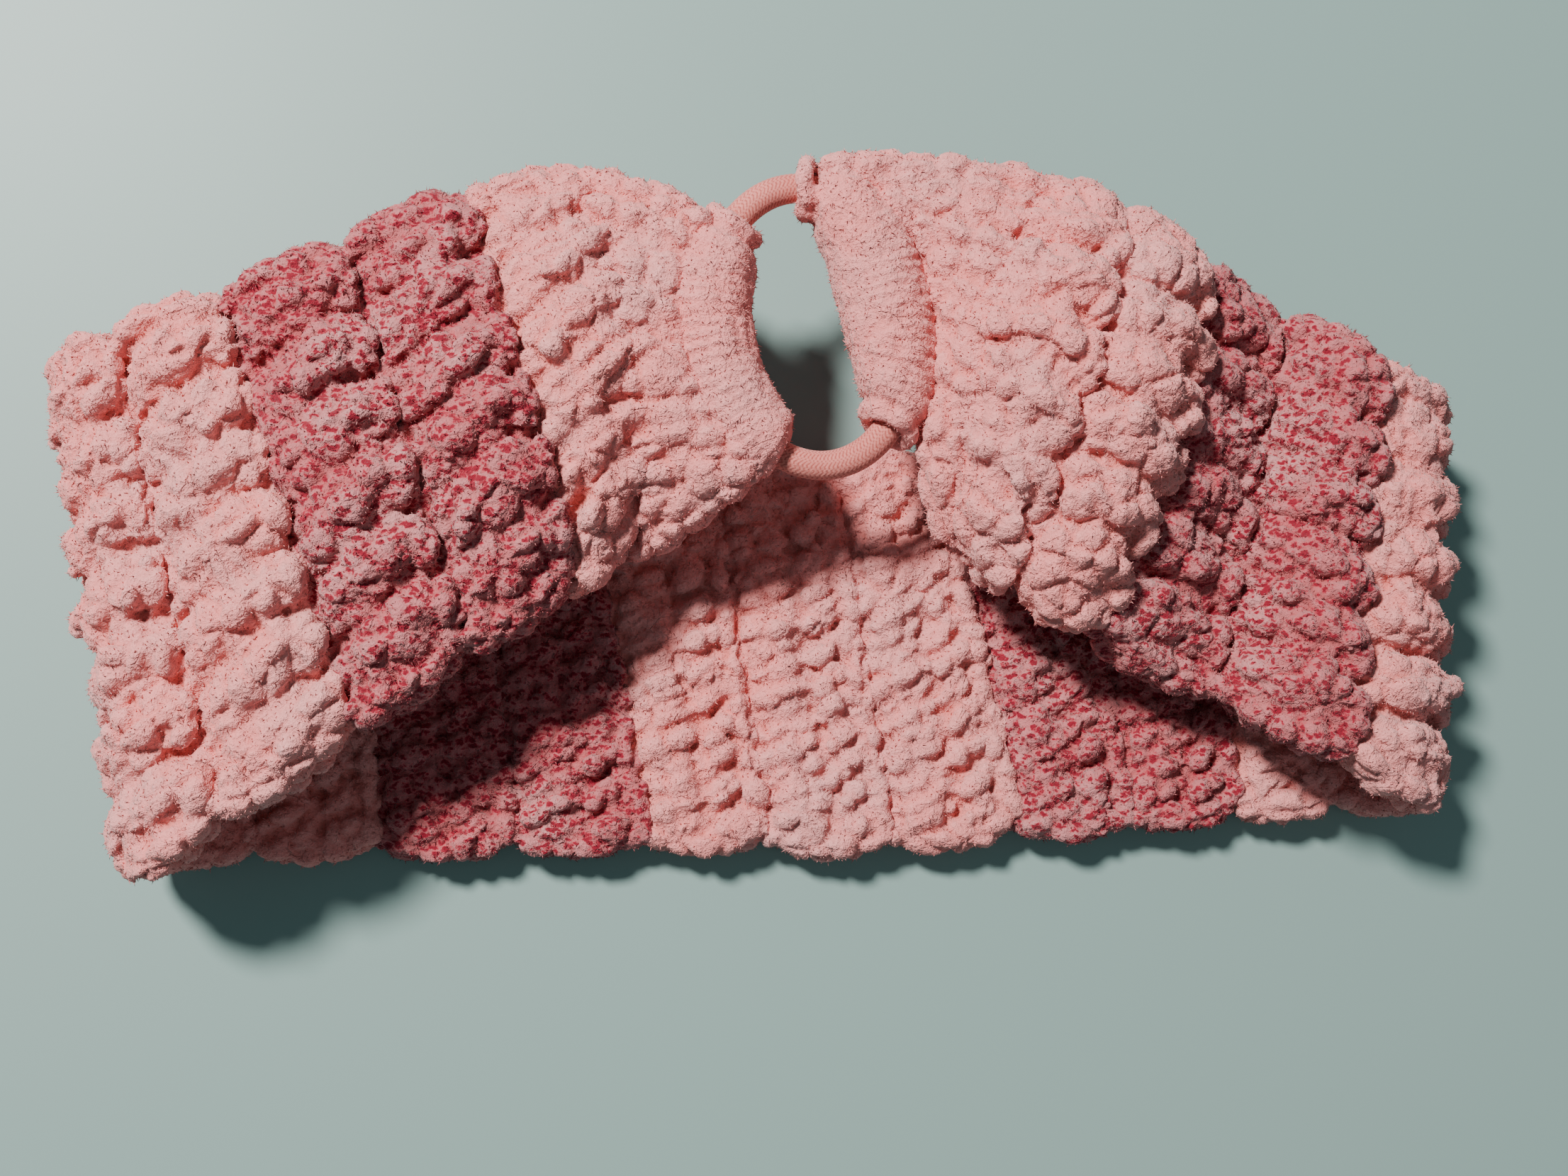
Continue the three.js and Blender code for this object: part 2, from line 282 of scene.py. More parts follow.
def yarnMaterial(name, flecked):
    material, tree, shader = newMaterial(name)
    place = tree.nodes.new("ShaderNodeTexCoord").outputs["Object"]
    paintedShade = tree.nodes.new("ShaderNodeAttribute")
    paintedShade.attribute_name = "paintedShade"
    paintedShade = paintedShade.outputs["Fac"]
    shade = addTexture(tree, place, "ShaderNodeTexNoise", yarn["shadeScale"], Detail=3.0)
    clump = addTexture(tree, place, "ShaderNodeTexNoise", yarn["clumpScale"], Detail=3.0, Roughness=0.6)
    pile = addTexture(tree, place, "ShaderNodeTexNoise", yarn["pileScale"], Detail=2.0, Roughness=0.7)
    stops = ("shadedFleckCrease", "fleckBody", "litFleckTip") if flecked else ("paintedShade", "body", "litTip")
    steps = (yarn["paintedShadeEnd"], yarn["bodyAt"], yarn["litTipFrom"])
    # painted shade in the creases and painted light on the tips, from the painted shade attribute
    colour = addRamp(tree, paintedShade, [(step, yarn[stop]) for step, stop in zip(steps, stops)])
    dusty = addRamp(tree, shade.outputs["Fac"], [(0.45, 0.0), (0.7, 0.4)])
    colour = addMix(tree, dusty, colour, yarn["dust"])
    speckle = addRamp(tree, pile.outputs["Fac"], [(0.32, (0.80, 0.72, 0.71)), (0.6, (1, 1, 1))])
    colour = addMix(tree, 0.55, colour, speckle, "MULTIPLY")
    mottle = addRamp(tree, clump.outputs["Fac"], [(0.3, (0.88, 0.78, 0.76)), (0.58, (1, 1, 1))])
    colour = addMix(tree, 0.7, colour, mottle, "MULTIPLY")

    warp = addMix(tree, yarn["warp"], place, shade.outputs["Color"])
    parting = addTexture(tree, warp, "ShaderNodeTexVoronoi", yarn["partingScale"], feature="DISTANCE_TO_EDGE")
    thin = addRamp(tree, parting.outputs["Distance"], [(0.0, 1.0), (yarn["partingWidth"], 0.0)])
    patchy = addTexture(tree, place, "ShaderNodeTexNoise", yarn["patchScale"], Detail=1.0)
    patchy = addRamp(tree, patchy.outputs["Fac"], [(0.54, 0.0), (0.64, 1.0)])
    parted = addMath(tree, "MULTIPLY", thin, patchy)
    # the partings are coloured with the crease colour as painted shade
    colour = addMix(tree, addMath(tree, "MULTIPLY", parted, yarn["partingShadeShare"]), colour, yarn[stops[0]])
    if flecked:
        colour = addFlecks(tree, place, warp, paintedShade, colour)
    tree.links.new(colour, shader.inputs["Base Color"])
    shader.inputs["Roughness"].default_value = yarn["roughness"]
    shader.inputs["Specular IOR Level"].default_value = yarn["specular"]
    shader.inputs["Sheen Weight"].default_value = yarn["sheen"]
    shader.inputs["Sheen Roughness"].default_value = yarn["sheenRoughness"]
    shader.inputs["Sheen Tint"].default_value = (*yarn["sheenTint"], 1)
    normal = addBump(tree, clump.outputs["Fac"], *yarn["clumpBump"])
    normal = addBump(tree, addMath(tree, "SUBTRACT", 1.0, parted), *yarn["partingBump"], normal)
    normal = addBump(tree, pile.outputs["Fac"], *yarn["pileBump"], normal)
    tree.links.new(normal, shader.inputs["Normal"])
    return material


# Stitches. A strand is a fat spindle of yarn along a bent line, in the row's own millimetres:
# x along the band from the row's left edge, y across it, z off the middle of the fabric
strand = {"sides": 8, "rings": 8, "blunt": 4}  # a higher blunt gives squarer ends


def addStrand(bm, start, bend, end, radius, grow=0.0):
    start, bend, end = Vector(start), Vector(bend), Vector(end)
    made = bmesh.ops.create_uvsphere(bm, u_segments=strand["sides"], v_segments=strand["rings"], radius=1)
    for vert in made["verts"]:
        u = (vert.co.z + 1) / 2
        centre = start * (1 - u) ** 2 + bend * (2 * u * (1 - u)) + end * u ** 2
        along = ((bend - start) * (1 - u) + (end - bend) * u).normalized()
        side = along.cross(Vector((0, 0, 1))).normalized()
        up = side.cross(along)
        narrow = math.hypot(vert.co.x, vert.co.y)
        size = 0.0
        if narrow > 1e-4:
            plump = math.sqrt(max(0.0, 1 - abs(vert.co.z) ** strand["blunt"]))
            size = radius * (1 + grow * (u - 0.5)) * plump / narrow
        vert.co = centre + (side * vert.co.x + up * vert.co.y) * size


stitches = {
    "seed": 100, "pitch": 10.4,                         # pitch: one stitch, across the band
    "innerRadius": 1.9, "innerDepth": -3.4, "chainRadius": 2.5,
    "postRadius": 2.9, "outerHeight": 2.5, "headRadius": 2.7, "lobes": 2,
    "edgeRadius": 3.0, "edgeInset": 2.0, "scallop": 3.6, "jitter": 0.6, "shift": 0.15,
    "fillLow": -2.7, "fillHigh": 0.7, "fillOver": 0.6, "fillInset": 0.5, "fillCuts": 9,
    "restHeight": 1.1, "voxel": 0.00053, "quickVoxel": 0.0006,
}
fullEdge = {  # how far the lower edge swells past the fabric near the two ends, by rows from the middle
    -1: [(8.5, 0), (9.5, 1.5), (10.5, 5)], 1: [(7.5, 0), (8.5, 2), (9.5, 5), (10.5, 8)],
}


def jitter(amount):
    return random.uniform(-amount, amount)


def innerStitch(bm, y, pitch):  # the face worn against the head: slanted strands, then steeper ones
    p = band["pitch"]
    j = stitches["jitter"]
    deep = stitches["innerDepth"]
    lean = random.uniform(0.85, 1.15)
    crown = jitter(0.35)
    for k in (-1, 0, 1):
        base = y + k * pitch / 2.95 + jitter(0.3)
        sink = 0.6 * abs(k)
        start = (0.09 * p + jitter(j), base - 2.3 * lean, deep + 1.0 + sink)
        bend = (0.32 * p + jitter(j), base + 0.2, deep - 1.9 - crown + sink)
        end = (0.62 * p + jitter(j), base + 2.5 * lean, deep + 0.5 + sink)
        addStrand(bm, start, bend, end, stitches["innerRadius"] * random.uniform(0.88, 1.14))
    for k in (-0.5, 0.5):
        base = y + k * pitch / 2.1 + jitter(0.4)
        start = (0.60 * p + jitter(j), base - 3.0, deep + 0.6)
        bend = (0.75 * p + jitter(j), base - 0.2, deep - 0.9 + jitter(0.4))
        end = (0.90 * p + jitter(j), base + 2.6, deep + 0.8)
        addStrand(bm, start, bend, end, stitches["innerRadius"] * random.uniform(0.9, 1.15))
    for k in (-0.25, 0.25):  # the chain between two rows
        low = (1.0 * p + 0.3, y + (k - 0.26) * pitch, deep + 1.7)
        mid = (1.0 * p + jitter(0.5), y + k * pitch, deep + 0.8 + jitter(0.3))
        high = (1.0 * p - 0.3, y + (k + 0.26) * pitch, deep + 1.7)
        addStrand(bm, low, mid, high, stitches["chainRadius"] * random.uniform(0.9, 1.08))


def outerStitch(bm, y, pitch):  # the face seen when worn: a plump puff with a round head
    p = band["pitch"]
    top = stitches["outerHeight"]
    lean = random.uniform(1.2, 3.4)
    lift = jitter(0.45)
    swell = random.uniform(0.9, 1.1)
    head = jitter(0.8)
    for k in (-1, 0, 1):
        base = y + k * pitch * 0.245 + jitter(0.4)
        sink = 1.5 * abs(k)
        start = (0.97 * p + jitter(0.5), base - lean, top - 2.4)
        bend = (0.52 * p + jitter(1.4), base + jitter(0.7), top + 2.3 + lift - sink)
        end = (0.03 * p + 1.4 * abs(k) + head, base + lean * 0.8, top - 0.6 + lift - sink)
        addStrand(bm, start, bend, end, stitches["postRadius"] * swell * random.uniform(0.9, 1.1), 0.3)
    low = (0.12 * p, y - pitch * 0.4, top - 1.5)  # the head leans on the row before
    mid = (head - 0.05 * p, y + jitter(0.5), top + 0.4 + lift)
    high = (0.12 * p, y + pitch * 0.4, top - 1.5)
    addStrand(bm, low, mid, high, stitches["headRadius"] * swell)
    for _ in range(stitches["lobes"]):
        lobe = Vector((random.uniform(0.15, 0.7) * p, y + jitter(pitch * 0.3), top + 0.8 + lift))
        off = Vector((random.uniform(1.2, 2.6), -random.uniform(0.4, 1.6), 0))
        addStrand(bm, lobe + off, lobe + Vector((0, 0, 0.9)), lobe - off, random.uniform(1.8, 2.4))


def selvedge(bm, y, side):  # the rolled long edge of the band
    p = band["pitch"]
    for height in (-1.5, 1.5):
        start = (-0.05 * p, y - side * 1.6, height)
        bend = (0.5 * p + jitter(1.0), y + side * (stitches["scallop"] + jitter(0.5)), height * 1.25)
        end = (1.05 * p, y - side * 1.6, height)
        addStrand(bm, start, bend, end, stitches["edgeRadius"] * random.uniform(0.92, 1.1))


def fillStrip(bm, length, left, right):  # the inside of the fabric, behind the stitches
    low, high, over = stitches["fillLow"], stitches["fillHigh"], stitches["fillOver"]
    made = bmesh.ops.create_cube(bm, size=1)
    for vert in made["verts"]:
        vert.co.x = (vert.co.x + 0.5) * (length + 2 * over) - over
        vert.co.y = left + (right - left) * (vert.co.y + 0.5)
        vert.co.z = low if vert.co.z < 0 else high
    edges = list({edge for vert in made["verts"] for edge in vert.link_edges})
    bmesh.ops.subdivide_edges(bm, edges=edges, cuts=stitches["fillCuts"], use_grid_fill=True)


def moveVerts(bm, place):  # place turns an array of x, y, z into an array of points in millimetres
    points = place(np.array([vert.co[:] for vert in bm.verts]))
    points[:, 2] = np.maximum(points[:, 2], stitches["restHeight"])  # the back is pressed flat on the table
    for vert, point in zip(bm.verts, points * mm):
        vert.co = point


def rowMesh(place):
    random.seed(stitches["seed"] + place)
    bm = bmesh.new()
    halfWidth = float(stationsAt(place)[3][0, 0])
    low = -halfWidth + stitches["edgeInset"] - follow(fullEdge[-1 if place < 0 else 1], abs(place))
    high = halfWidth - stitches["edgeInset"]
    count = max(4, round((high - low) / stitches["pitch"]))
    pitch = (high - low) / count
    shift = jitter(stitches["shift"]) * pitch
    fillStrip(bm, band["pitch"], low + stitches["fillInset"], high - stitches["fillInset"])
    for k in range(count):
        y = low + (k + 0.5) * pitch
        innerStitch(bm, y + shift, pitch)
        outerStitch(bm, y - shift, pitch)
    selvedge(bm, low, -1)
    selvedge(bm, high, 1)
    moveVerts(bm, lambda c: bandPoints(place - 0.5 + c[:, 0] / band["pitch"], c[:, 1] / halfWidth, c[:, 2]))
    return bm


# Turning the strands into one plush body
plush = {
    "lumpSize": 0.0054, "lumpDepth": 0.0015, "tuftSize": 0.0017, "tuftDepth": 0.00035,
    "tuftProfile": [(0.08, 0.45), (0.22, 0.85), (0.45, 0.98)],  # height of a tuft, from its crease inwards
    "tuftMiddle": 0.5, "smoothing": 0.5, "smoothSteps": 1,
    "paintedShadeScales": [(10, 0.0013), (70, 0.0040)],               # smoothing steps, and the depth that counts
    "pileDensity": 850000, "pileLength": 0.0007, "pileWidth": 0.0001,
    "pileTilt": 0.9, "pileTurn": 3.14, "pileSizes": (0.5, 1.3), "fill": 0.7,
}


def tuftTexture(name, size):  # broad round tufts with narrow creases between them
    texture = bpy.data.textures.new(name, "VORONOI")
    texture.noise_scale = size
    texture.weight_1 = -1
    texture.weight_2 = 1
    texture.use_color_ramp = True
    ramp = texture.color_ramp
    ramp.interpolation = "B_SPLINE"
    for place, height in plush["tuftProfile"]:
        element = ramp.elements.new(place)
        element.color = (height, height, height, 1)
    ramp.elements[0].color = (0, 0, 0, 1)
    ramp.elements[-1].color = (1, 1, 1, 1)
    return texture


def applyModifiers(piece):
    graph = bpy.context.evaluated_depsgraph_get()
    graph.update()
    mesh = bpy.data.meshes.new_from_object(piece.evaluated_get(graph))
    old = piece.data
    piece.modifiers.clear()
    piece.data = mesh
    bpy.data.meshes.remove(old)
    mesh.name = piece.name


def meshObject(name, bm):
    mesh = bpy.data.meshes.new(name)
    bm.to_mesh(mesh)
    bm.free()
    piece = bpy.data.objects.new(name, mesh)
    bpy.context.collection.objects.link(piece)
    return piece


def vertexValues(mesh, key):
    values = np.empty(len(mesh.vertices) * 3, dtype=np.float32)
    mesh.vertices.foreach_get(key, values)
    return values.reshape(-1, 3)


def evenedBy(piece, steps):
    smooth = piece.modifiers.new("even", "SMOOTH")
    smooth.factor = plush["smoothing"]
    smooth.iterations = steps
    graph = bpy.context.evaluated_depsgraph_get()
    graph.update()
    evened = piece.evaluated_get(graph).to_mesh()
    values = vertexValues(evened, "co"), vertexValues(evened, "normal")
    piece.evaluated_get(graph).to_mesh_clear()
    piece.modifiers.clear()
    return values


def markPaintedShade(piece):  # how far each point stands out of, or lies in, the smoothed surface, kept to paint shade into the creases and light onto the tips
    before = vertexValues(piece.data, "co")
    stand = 0
    for steps, depth in plush["paintedShadeScales"]:
        after, normals = evenedBy(piece, steps)
        stand = stand + ((before - after) * normals).sum(axis=1) / depth
    attribute = piece.data.attributes.new("paintedShade", "FLOAT", "POINT")
    attribute.data.foreach_set("value", np.clip(0.5 + stand * 0.5, 0, 1).astype(np.float32))


def pileGroup():  # short fibres all over a surface
    group = bpy.data.node_groups.new("pile", "GeometryNodeTree")
    group.interface.new_socket("Geometry", in_out="INPUT", socket_type="NodeSocketGeometry")
    group.interface.new_socket("Geometry", in_out="OUTPUT", socket_type="NodeSocketGeometry")
    nodes, links = group.nodes, group.links
    source = nodes.new("NodeGroupInput")
    result = nodes.new("NodeGroupOutput")
    scatter = nodes.new("GeometryNodeDistributePointsOnFaces")
    scatter.inputs["Density"].default_value = plush["pileDensity"]
    fibre = nodes.new("GeometryNodeMeshCone")
    fibre.inputs["Vertices"].default_value = 3
    fibre.inputs["Radius Top"].default_value = 0
    fibre.inputs["Radius Bottom"].default_value = plush["pileWidth"]
    fibre.inputs["Depth"].default_value = plush["pileLength"]
    turn = nodes.new("FunctionNodeRandomValue")
    turn.data_type = "FLOAT_VECTOR"
    turn.inputs[0].default_value = (-plush["pileTilt"], -plush["pileTilt"], -plush["pileTurn"])
    turn.inputs[1].default_value = (plush["pileTilt"], plush["pileTilt"], plush["pileTurn"])
    size = nodes.new("FunctionNodeRandomValue")
    size.data_type = "FLOAT"
    size.inputs[2].default_value = plush["pileSizes"][0]
    size.inputs[3].default_value = plush["pileSizes"][1]
    tilt = nodes.new("FunctionNodeRotateRotation")
    tilt.rotation_space = "LOCAL"
    euler = nodes.new("FunctionNodeEulerToRotation")
    spread = nodes.new("GeometryNodeInstanceOnPoints")
    real = nodes.new("GeometryNodeRealizeInstances")
    join = nodes.new("GeometryNodeJoinGeometry")
    links.new(source.outputs[0], scatter.inputs["Mesh"])
    links.new(scatter.outputs["Points"], spread.inputs["Points"])
    links.new(fibre.outputs["Mesh"], spread.inputs["Instance"])
    links.new(turn.outputs[0], euler.inputs[0])
    links.new(scatter.outputs["Rotation"], tilt.inputs[0])
    links.new(euler.outputs[0], tilt.inputs[1])
    links.new(tilt.outputs[0], spread.inputs["Rotation"])
    links.new(size.outputs[1], spread.inputs["Scale"])
    links.new(spread.outputs["Instances"], real.inputs[0])
    links.new(source.outputs[0], join.inputs[0])
    links.new(real.outputs[0], join.inputs[0])
    links.new(join.outputs[0], result.inputs[0])
    return group


def makePlush(piece, material, share=1.0):  # share tells how much of the tufting is used
    remesh = piece.modifiers.new("felt", "REMESH")
    remesh.mode = "VOXEL"
    remesh.voxel_size = stitches["voxel"]
    smooth = piece.modifiers.new("soften", "SMOOTH")
    smooth.factor = plush["smoothing"]
    smooth.iterations = plush["smoothSteps"]
    for name in ("lump", "tuft"):
        displace = piece.modifiers.new(name, "DISPLACE")
        displace.texture = textures[name]
        displace.texture_coords = "LOCAL"
        displace.strength = plush[name + "Depth"] * share
        displace.mid_level = plush["tuftMiddle"]
    applyModifiers(piece)
    markPaintedShade(piece)
    pile = piece.modifiers.new("pile", "NODES")
    pile.node_group = pileNodes
    applyModifiers(piece)
    piece.data.materials.clear()
    piece.data.materials.append(material)
    piece.data.shade_smooth()


textures = {name: tuftTexture(name, plush[name + "Size"]) for name in ("lump", "tuft")}
pileNodes = pileGroup()
yarns = {"pink": yarnMaterial("pinkChenille", False), "fleck": yarnMaterial("fleckChenille", True)}
rowColours = [colour for colour, count in band["stripes"] for _ in range(count)]

makeCamera()
makeLight("key")
makeLight("fill")
makeWorld()
print("camera and lights")

rowBodies = [(-10, -7, "left_flap"), (-6, -6, "left_fold"), (-5, -4, "left_side"), (-3, 3, "back"),
             (4, 5, "right_side"), (6, 10, "right_flap")]
# Rows that bend where two bodies join: place, bodies, and where the bend starts and ends, in rows
rowBends = {
    -4: ("back", "left_side", -3.5, -4.5), -5: ("left_side", "left_fold", -5.0, -5.5),
    -7: ("left_fold", "left_flap", -6.5, -7.0),
    4: ("back", "right_side", 3.5, 4.5), 5: ("right_side", "right_flap", 5.0, 5.5),
}


def holdRow(piece, place):
    if place in rowBends:
        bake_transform(piece)
    else:
        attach(piece, next(name for low, high, name in rowBodies if low <= place <= high))


def finishPlush(piece, colour, *nodes):
    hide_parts(*nodes)
    print(piece.name, len(piece.data.polygons))


for index, colour in enumerate(rowColours):
    place = index - band["rowsEachSide"]
    node = f"row_{index + 1:02d}_{colour}"
    row = meshObject(f"plush_{node}", rowMesh(place))
    makePlush(row, yarns[colour])
    holdRow(row, place)
    finishPlush(row, colour, node)

# The oval of the hair elastic, between the two ends of the band
ring = {
    "halfLength": 22.5, "lean": 5.6, "shift": (1, -2, -3), "gather": 5.0, "sleeve": 11.0,
    "cord": 4.7, "wall": 0.7, "clearance": 0.15, "joinAngle": -20, "joinLength": 2.4, "joinGap": 0.3,
}
leftEnd = Vector(stationsAt(-endRows)[0][0])
rightEnd = Vector(stationsAt(endRows)[0][0])
ringCentre = (leftEnd + rightEnd) / 2 + Vector(ring["shift"])
ringAcross = rightEnd - leftEnd
ringAcross.z = 0
ringHalfWidth = ringAcross.length / 2 - ring["gather"] - ring["sleeve"] / 2
ringAcross.normalize()
ringUp = Vector((-math.sin(math.radians(ring["lean"])), math.cos(math.radians(ring["lean"])), 0))


def ovalPoint(angle, out=0.0, up=0.0):  # degrees round the oval, mm out of it in its plane, mm above it
    turn = math.radians(angle)
    normal = Vector((ring["halfLength"] * math.cos(turn), ringHalfWidth * math.sin(turn))).normalized() * out
    point = ringCentre + ringAcross * (ringHalfWidth * math.cos(turn) + normal.x)
    point += ringUp * (ring["halfLength"] * math.sin(turn) + normal.y)
    return point + Vector((0, 0, up))


# Wraps of yarn round the elastic, and the gathered stitches that join them to the last rows
wraps = {
    "left": {
        "side": -1, "arc": (136, 247), "gatherArc": (138, 236), "turns": 24,
        "lip": (132,), "bulge": 0.4, "swell": 0.4,
    },
    "right": {
        "side": 1, "arc": (80, -45), "gatherArc": (66, -34), "turns": 26,
        "lip": (84, -47), "bulge": 3.4, "swell": 1.4,
    },
    "wrapSeed": 40, "gatherSeed": 60, "tufting": 0.3, "bulgeLean": 0.6,
    "radius": 6.3, "ridge": 0.3, "strands": 13, "strandRadius": 3.0, "overlap": 0.6,
    "lipRadius": 3.8, "lipYarn": 1.7, "lipStrands": 7, "lipSlant": 3,
}


def wrapMesh(settings):
    random.seed(wraps["wrapSeed"] + settings["side"])
    bm = bmesh.new()
    first, last = settings["arc"]
    made = bmesh.ops.create_uvsphere(bm, u_segments=20, v_segments=settings["turns"] * 5, radius=1)
    for vert in made["verts"]:
        u = math.acos(max(-1, min(1, -vert.co.z))) / math.pi  # even steps along the wrap
        narrow = math.hypot(vert.co.x, vert.co.y)
        ridge = wraps["ridge"] * math.cos(2 * math.pi * u * settings["turns"])
        ends = math.sqrt(max(0.0, 1 - abs(2 * u - 1) ** 14))
        full = math.sin(math.pi * u)  # fullest half way along
        radius = (wraps["radius"] + settings["swell"] * full - ridge) * ends
        size = radius / narrow if narrow > 1e-4 else 0
        bulge = settings["bulge"] * full * (1 + wraps["bulgeLean"] * (u - 0.5))
        out = vert.co.x * size - bulge
        vert.co = ovalPoint(first + (last - first) * u, out, vert.co.y * size)
    for angle in settings["lip"]:  # a last turn of yarn, slanting round the elastic
        for k in range(wraps["lipStrands"]):
            points = []
            for part, swell in ((-0.15, 1.0), (0.5, 1.18), (1.15, 1.0)):
                turn = 2 * math.pi * (k + part) / wraps["lipStrands"]
                radius = wraps["lipRadius"] * swell
                slant = wraps["lipSlant"] * math.sin(turn)
                points.append(ovalPoint(angle + slant, radius * math.cos(turn), radius * math.sin(turn)))
            addStrand(bm, *points, wraps["lipYarn"] * random.uniform(0.85, 1.15))
    moveVerts(bm, lambda points: points)
    return bm


def gatherMesh(settings):
    side = settings["side"]
    random.seed(wraps["gatherSeed"] + side)
    bm = bmesh.new()
    first, last = settings["gatherArc"]
    outward = Vector(stationsAt(side * endRows)[2][0])

    def place(share, across, height):  # share of the way from the last row to the wrap
        angle = first + (last - first) * (1 - across) / 2
        if share < 0:
            return Vector(bandPoints(side * (endRows + share), across, height)[0])
        start = Vector(bandPoints(side * endRows, across, 0)[0])
        finish = ovalPoint(angle, ring["sleeve"] / 2)
        normal = outward.lerp(Vector((0, 0, 1)), min(1, share)).normalized()
        return start.lerp(finish, share) + normal * height

    count = wraps["strands"]
    low = -1 - follow(fullEdge[side], endRows) / float(stationsAt(side * endRows)[3][0, 0])
    for layer in (-1, 1):
        for k in range(count):
            across = low + (0.95 - low) * k / (count - 1) + jitter(0.02)
            inward = max(-0.95, min(0.95, across))
            reach = wraps["overlap"] * (1 - 0.6 * inward * inward)
            radius = wraps["strandRadius"] * random.uniform(0.9, 1.1)
            inner = place(-0.3, across, layer * 1.6)
            middle = place(0.4, across + jitter(0.02), layer * 3.0 + jitter(0.6))
            outer = place(1 + reach, inward + jitter(0.02), layer * 2.2)
            addStrand(bm, inner, middle, outer, radius)
    moveVerts(bm, lambda points: points)
    return bm


for end in ("left", "right"):
    settings = wraps[end]
    wrap = meshObject(f"plush_{end}_wrap", wrapMesh(settings))
    makePlush(wrap, yarns["pink"], wraps["tufting"])
    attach(wrap, "elastic_loop")
    finishPlush(wrap, "pink", f"{end}_wrap")
    gather = meshObject(f"plush_{end}_gather", gatherMesh(settings))
    makePlush(gather, yarns["pink"])
    if end == "left":
        middle = (settings["gatherArc"][0] + settings["gatherArc"][1]) / 2
        tuple(ovalPoint(middle, ring["sleeve"] / 2) * mm)
        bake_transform(gather)
    else:
        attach(gather, "right_flap")
    finishPlush(gather, "pink", f"{end}_gather")

# Elastic: rubber core, knitted cover and the glued join between their ends
elastic = {
    "sides": 48, "steps": 620, "coreSides": 24, "coreSteps": 160, "joinSides": 32, "joinSteps": 12,
    "ribPitch": 0.8, "ribColumns": 10, "ribDepth": 0.06, "ribSlant": 0.9,
    "wallShare": 0.8, "joinNeck": 0.96, "joinSwell": 0.1,
    "lit": (0.74, 0.235, 0.20), "grooveShade": (0.46, 0.09, 0.075), "threadScale": 2600, "wearScale": 160,
    "roughness": 0.75, "specular": 0.3, "sheen": 0.3, "sheenTint": (1, 0.85, 0.82),
    "rubber": (0.62, 0.44, 0.36), "glue": (0.60, 0.26, 0.23),
}


def ovalTube(first, last, sides, steps, radiusAt):  # a sheet rolled round the oval's line, ends open
    bm = bmesh.new()
    bmesh.ops.create_grid(bm, x_segments=sides, y_segments=steps, size=0.5)
    ribShade = bm.verts.layers.float.new("rib")
    for vert in bm.verts:
        around = 2 * math.pi * (vert.co.x + 0.5)
        along = vert.co.y + 0.5
        radius = radiusAt(around, along)
        # the rib wave is kept to paint shade in the grooves and light on the ribs
        vert[ribShade] = ribWave(around, along)
        out, up = radius * math.cos(around), radius * math.sin(around)
        vert.co = ovalPoint(first + (last - first) * along, out, up) * mm
    bmesh.ops.remove_doubles(bm, verts=bm.verts, dist=1e-6)
    bmesh.ops.recalc_face_normals(bm, faces=bm.faces)
    return bm


def capEnds(bm):
    rims = [edge for edge in bm.edges if edge.is_boundary]
    bmesh.ops.holes_fill(bm, edges=rims, sides=0)
    bmesh.ops.recalc_face_normals(bm, faces=bm.faces)


def knitMaterial():
    material, tree, shader = newMaterial("knittedCover")
    place = tree.nodes.new("ShaderNodeTexCoord").outputs["Object"]
    rib = tree.nodes.new("ShaderNodeAttribute")
    rib.attribute_name = "rib"
    thread = addTexture(tree, place, "ShaderNodeTexNoise", elastic["threadScale"], Detail=2.0)
    wear = addTexture(tree, place, "ShaderNodeTexNoise", elastic["wearScale"], Detail=3.0)
    # painted shade in the grooves and painted light on the ribs
    colour = addRamp(tree, rib.outputs["Fac"], [(0.1, elastic["grooveShade"]), (0.6, elastic["lit"])])
    worn = addRamp(tree, wear.outputs["Fac"], [(0.35, (0.84, 0.80, 0.80)), (0.65, (1, 1, 1))])
    colour = addMix(tree, 0.8, colour, worn, "MULTIPLY")
    hairs = addRamp(tree, thread.outputs["Fac"], [(0.35, (0.8, 0.76, 0.76)), (0.6, (1, 1, 1))])
    colour = addMix(tree, 0.8, colour, hairs, "MULTIPLY")
    tree.links.new(colour, shader.inputs["Base Color"])
    shader.inputs["Roughness"].default_value = elastic["roughness"]
    shader.inputs["Specular IOR Level"].default_value = elastic["specular"]
    shader.inputs["Sheen Weight"].default_value = elastic["sheen"]
    shader.inputs["Sheen Tint"].default_value = (*elastic["sheenTint"], 1)
    normal = addBump(tree, thread.outputs["Fac"], 0.00015, 0.6)
    tree.links.new(normal, shader.inputs["Normal"])
    return material


def plainMaterial(name, colour, roughness, grain):
    material, tree, shader = newMaterial(name)
    place = tree.nodes.new("ShaderNodeTexCoord").outputs["Object"]
    noise = addTexture(tree, place, "ShaderNodeTexNoise", grain, Detail=4.0)
    cloudy = addRamp(tree, noise.outputs["Fac"], [(0.3, (0.86, 0.84, 0.82)), (0.65, (1, 1, 1))])
    tree.links.new(addMix(tree, 1.0, colour, cloudy, "MULTIPLY"), shader.inputs["Base Color"])
    shader.inputs["Roughness"].default_value = roughness
    tree.links.new(addBump(tree, noise.outputs["Fac"], 0.0001, 0.5), shader.inputs["Normal"])
    return material


cordRadius = ring["cord"] / 2
joinHalf = math.degrees(ring["joinLength"] / 2 / ring["halfLength"])
gapHalf = math.degrees(ring["joinGap"] / ring["halfLength"])
joinArc = (ring["joinAngle"] - joinHalf, ring["joinAngle"] + joinHalf)
elasticArc = (joinArc[1] + gapHalf, joinArc[0] - gapHalf + 360)
ovalLength = math.pi * (ringHalfWidth + ring["halfLength"])


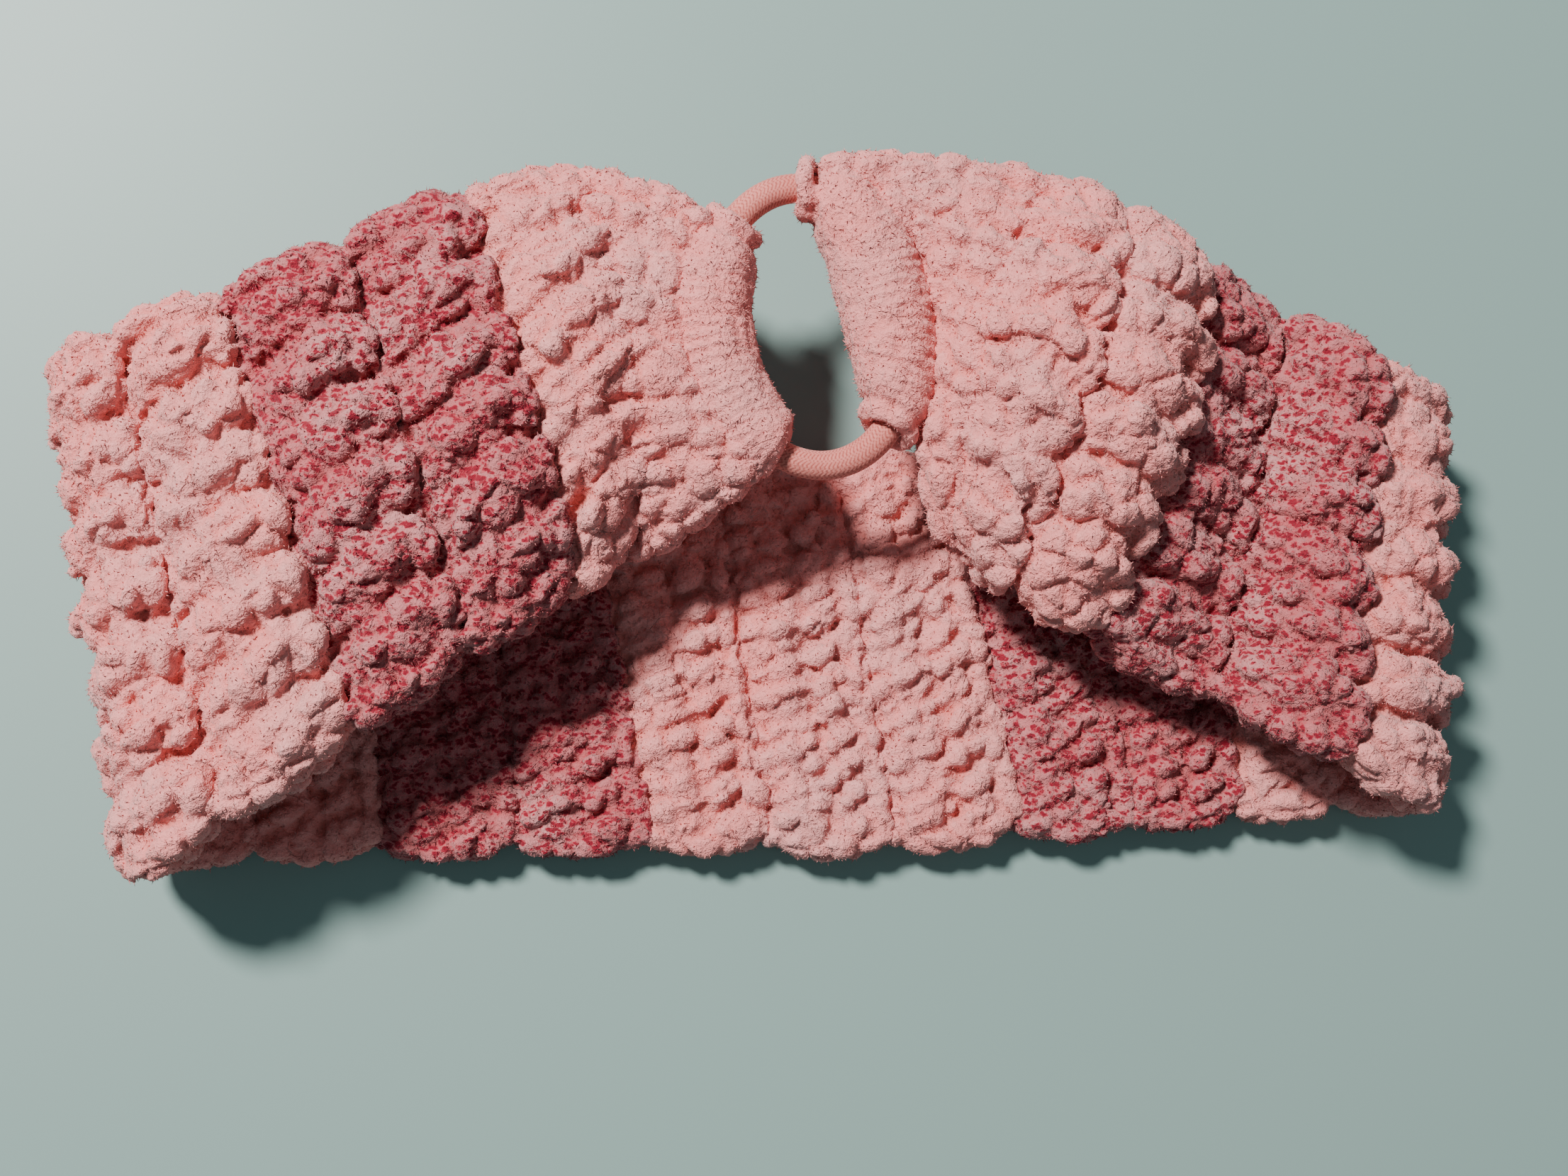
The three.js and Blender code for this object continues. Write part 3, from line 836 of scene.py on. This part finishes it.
def ribWave(around, along):  # slanting ribs in knitted columns, 0 in a groove and 1 on a rib; the cover's colour uses it for painted shade in the grooves and painted light on the ribs
    column = around * elastic["ribColumns"] / (2 * math.pi)
    zigzag = abs(2 * (column - math.floor(column)) - 1)
    phase = along * ovalLength / elastic["ribPitch"] + elastic["ribSlant"] * zigzag
    return 0.5 + 0.5 * math.cos(2 * math.pi * phase)


def coverRadius(around, along):
    return cordRadius - elastic["ribDepth"] * (1 - ribWave(around, along))


def elasticPiece(name, bm, material, node):
    piece = meshObject(name, bm)
    piece.data.materials.append(material)
    piece.data.shade_smooth()
    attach(piece, "elastic_loop")
    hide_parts(node)
    print(name, len(piece.data.polygons))


def coreRadius(around, along):
    return cordRadius - ring["wall"] - ring["clearance"]


def joinRadius(around, along):
    return cordRadius * (elastic["joinNeck"] + elastic["joinSwell"] * math.sin(math.pi * along))


coverMesh = ovalTube(*elasticArc, elastic["sides"], elastic["steps"], coverRadius)
bmesh.ops.solidify(coverMesh, geom=coverMesh.faces[:], thickness=ring["wall"] * mm * elastic["wallShare"])
elasticPiece("knitted_cover", coverMesh, knitMaterial(), "elastic_cover")

coreMesh = ovalTube(*elasticArc, elastic["coreSides"], elastic["coreSteps"], coreRadius)
capEnds(coreMesh)
rubber = plainMaterial("rubberCore", elastic["rubber"], 0.6, 900)
elasticPiece("rubber_core", coreMesh, rubber, "elastic_core")

joinMesh = ovalTube(*joinArc, elastic["joinSides"], elastic["joinSteps"], joinRadius)
capEnds(joinMesh)
glue = plainMaterial("gluedJoin", elastic["glue"], 0.45, 700)
elasticPiece("glued_join", joinMesh, glue, "elastic_join")

# Table
table = {"size": 3.0, "colour": (0.225, 0.325, 0.31), "roughness": 0.5}


def makeTable():
    bm = bmesh.new()
    bmesh.ops.create_grid(bm, x_segments=1, y_segments=1, size=table["size"])
    top = meshObject("table", bm)
    material, tree, shader = newMaterial("paleTable")
    shader.inputs["Base Color"].default_value = (*table["colour"], 1)
    shader.inputs["Roughness"].default_value = table["roughness"]
    top.data.materials.append(material)


makeTable()
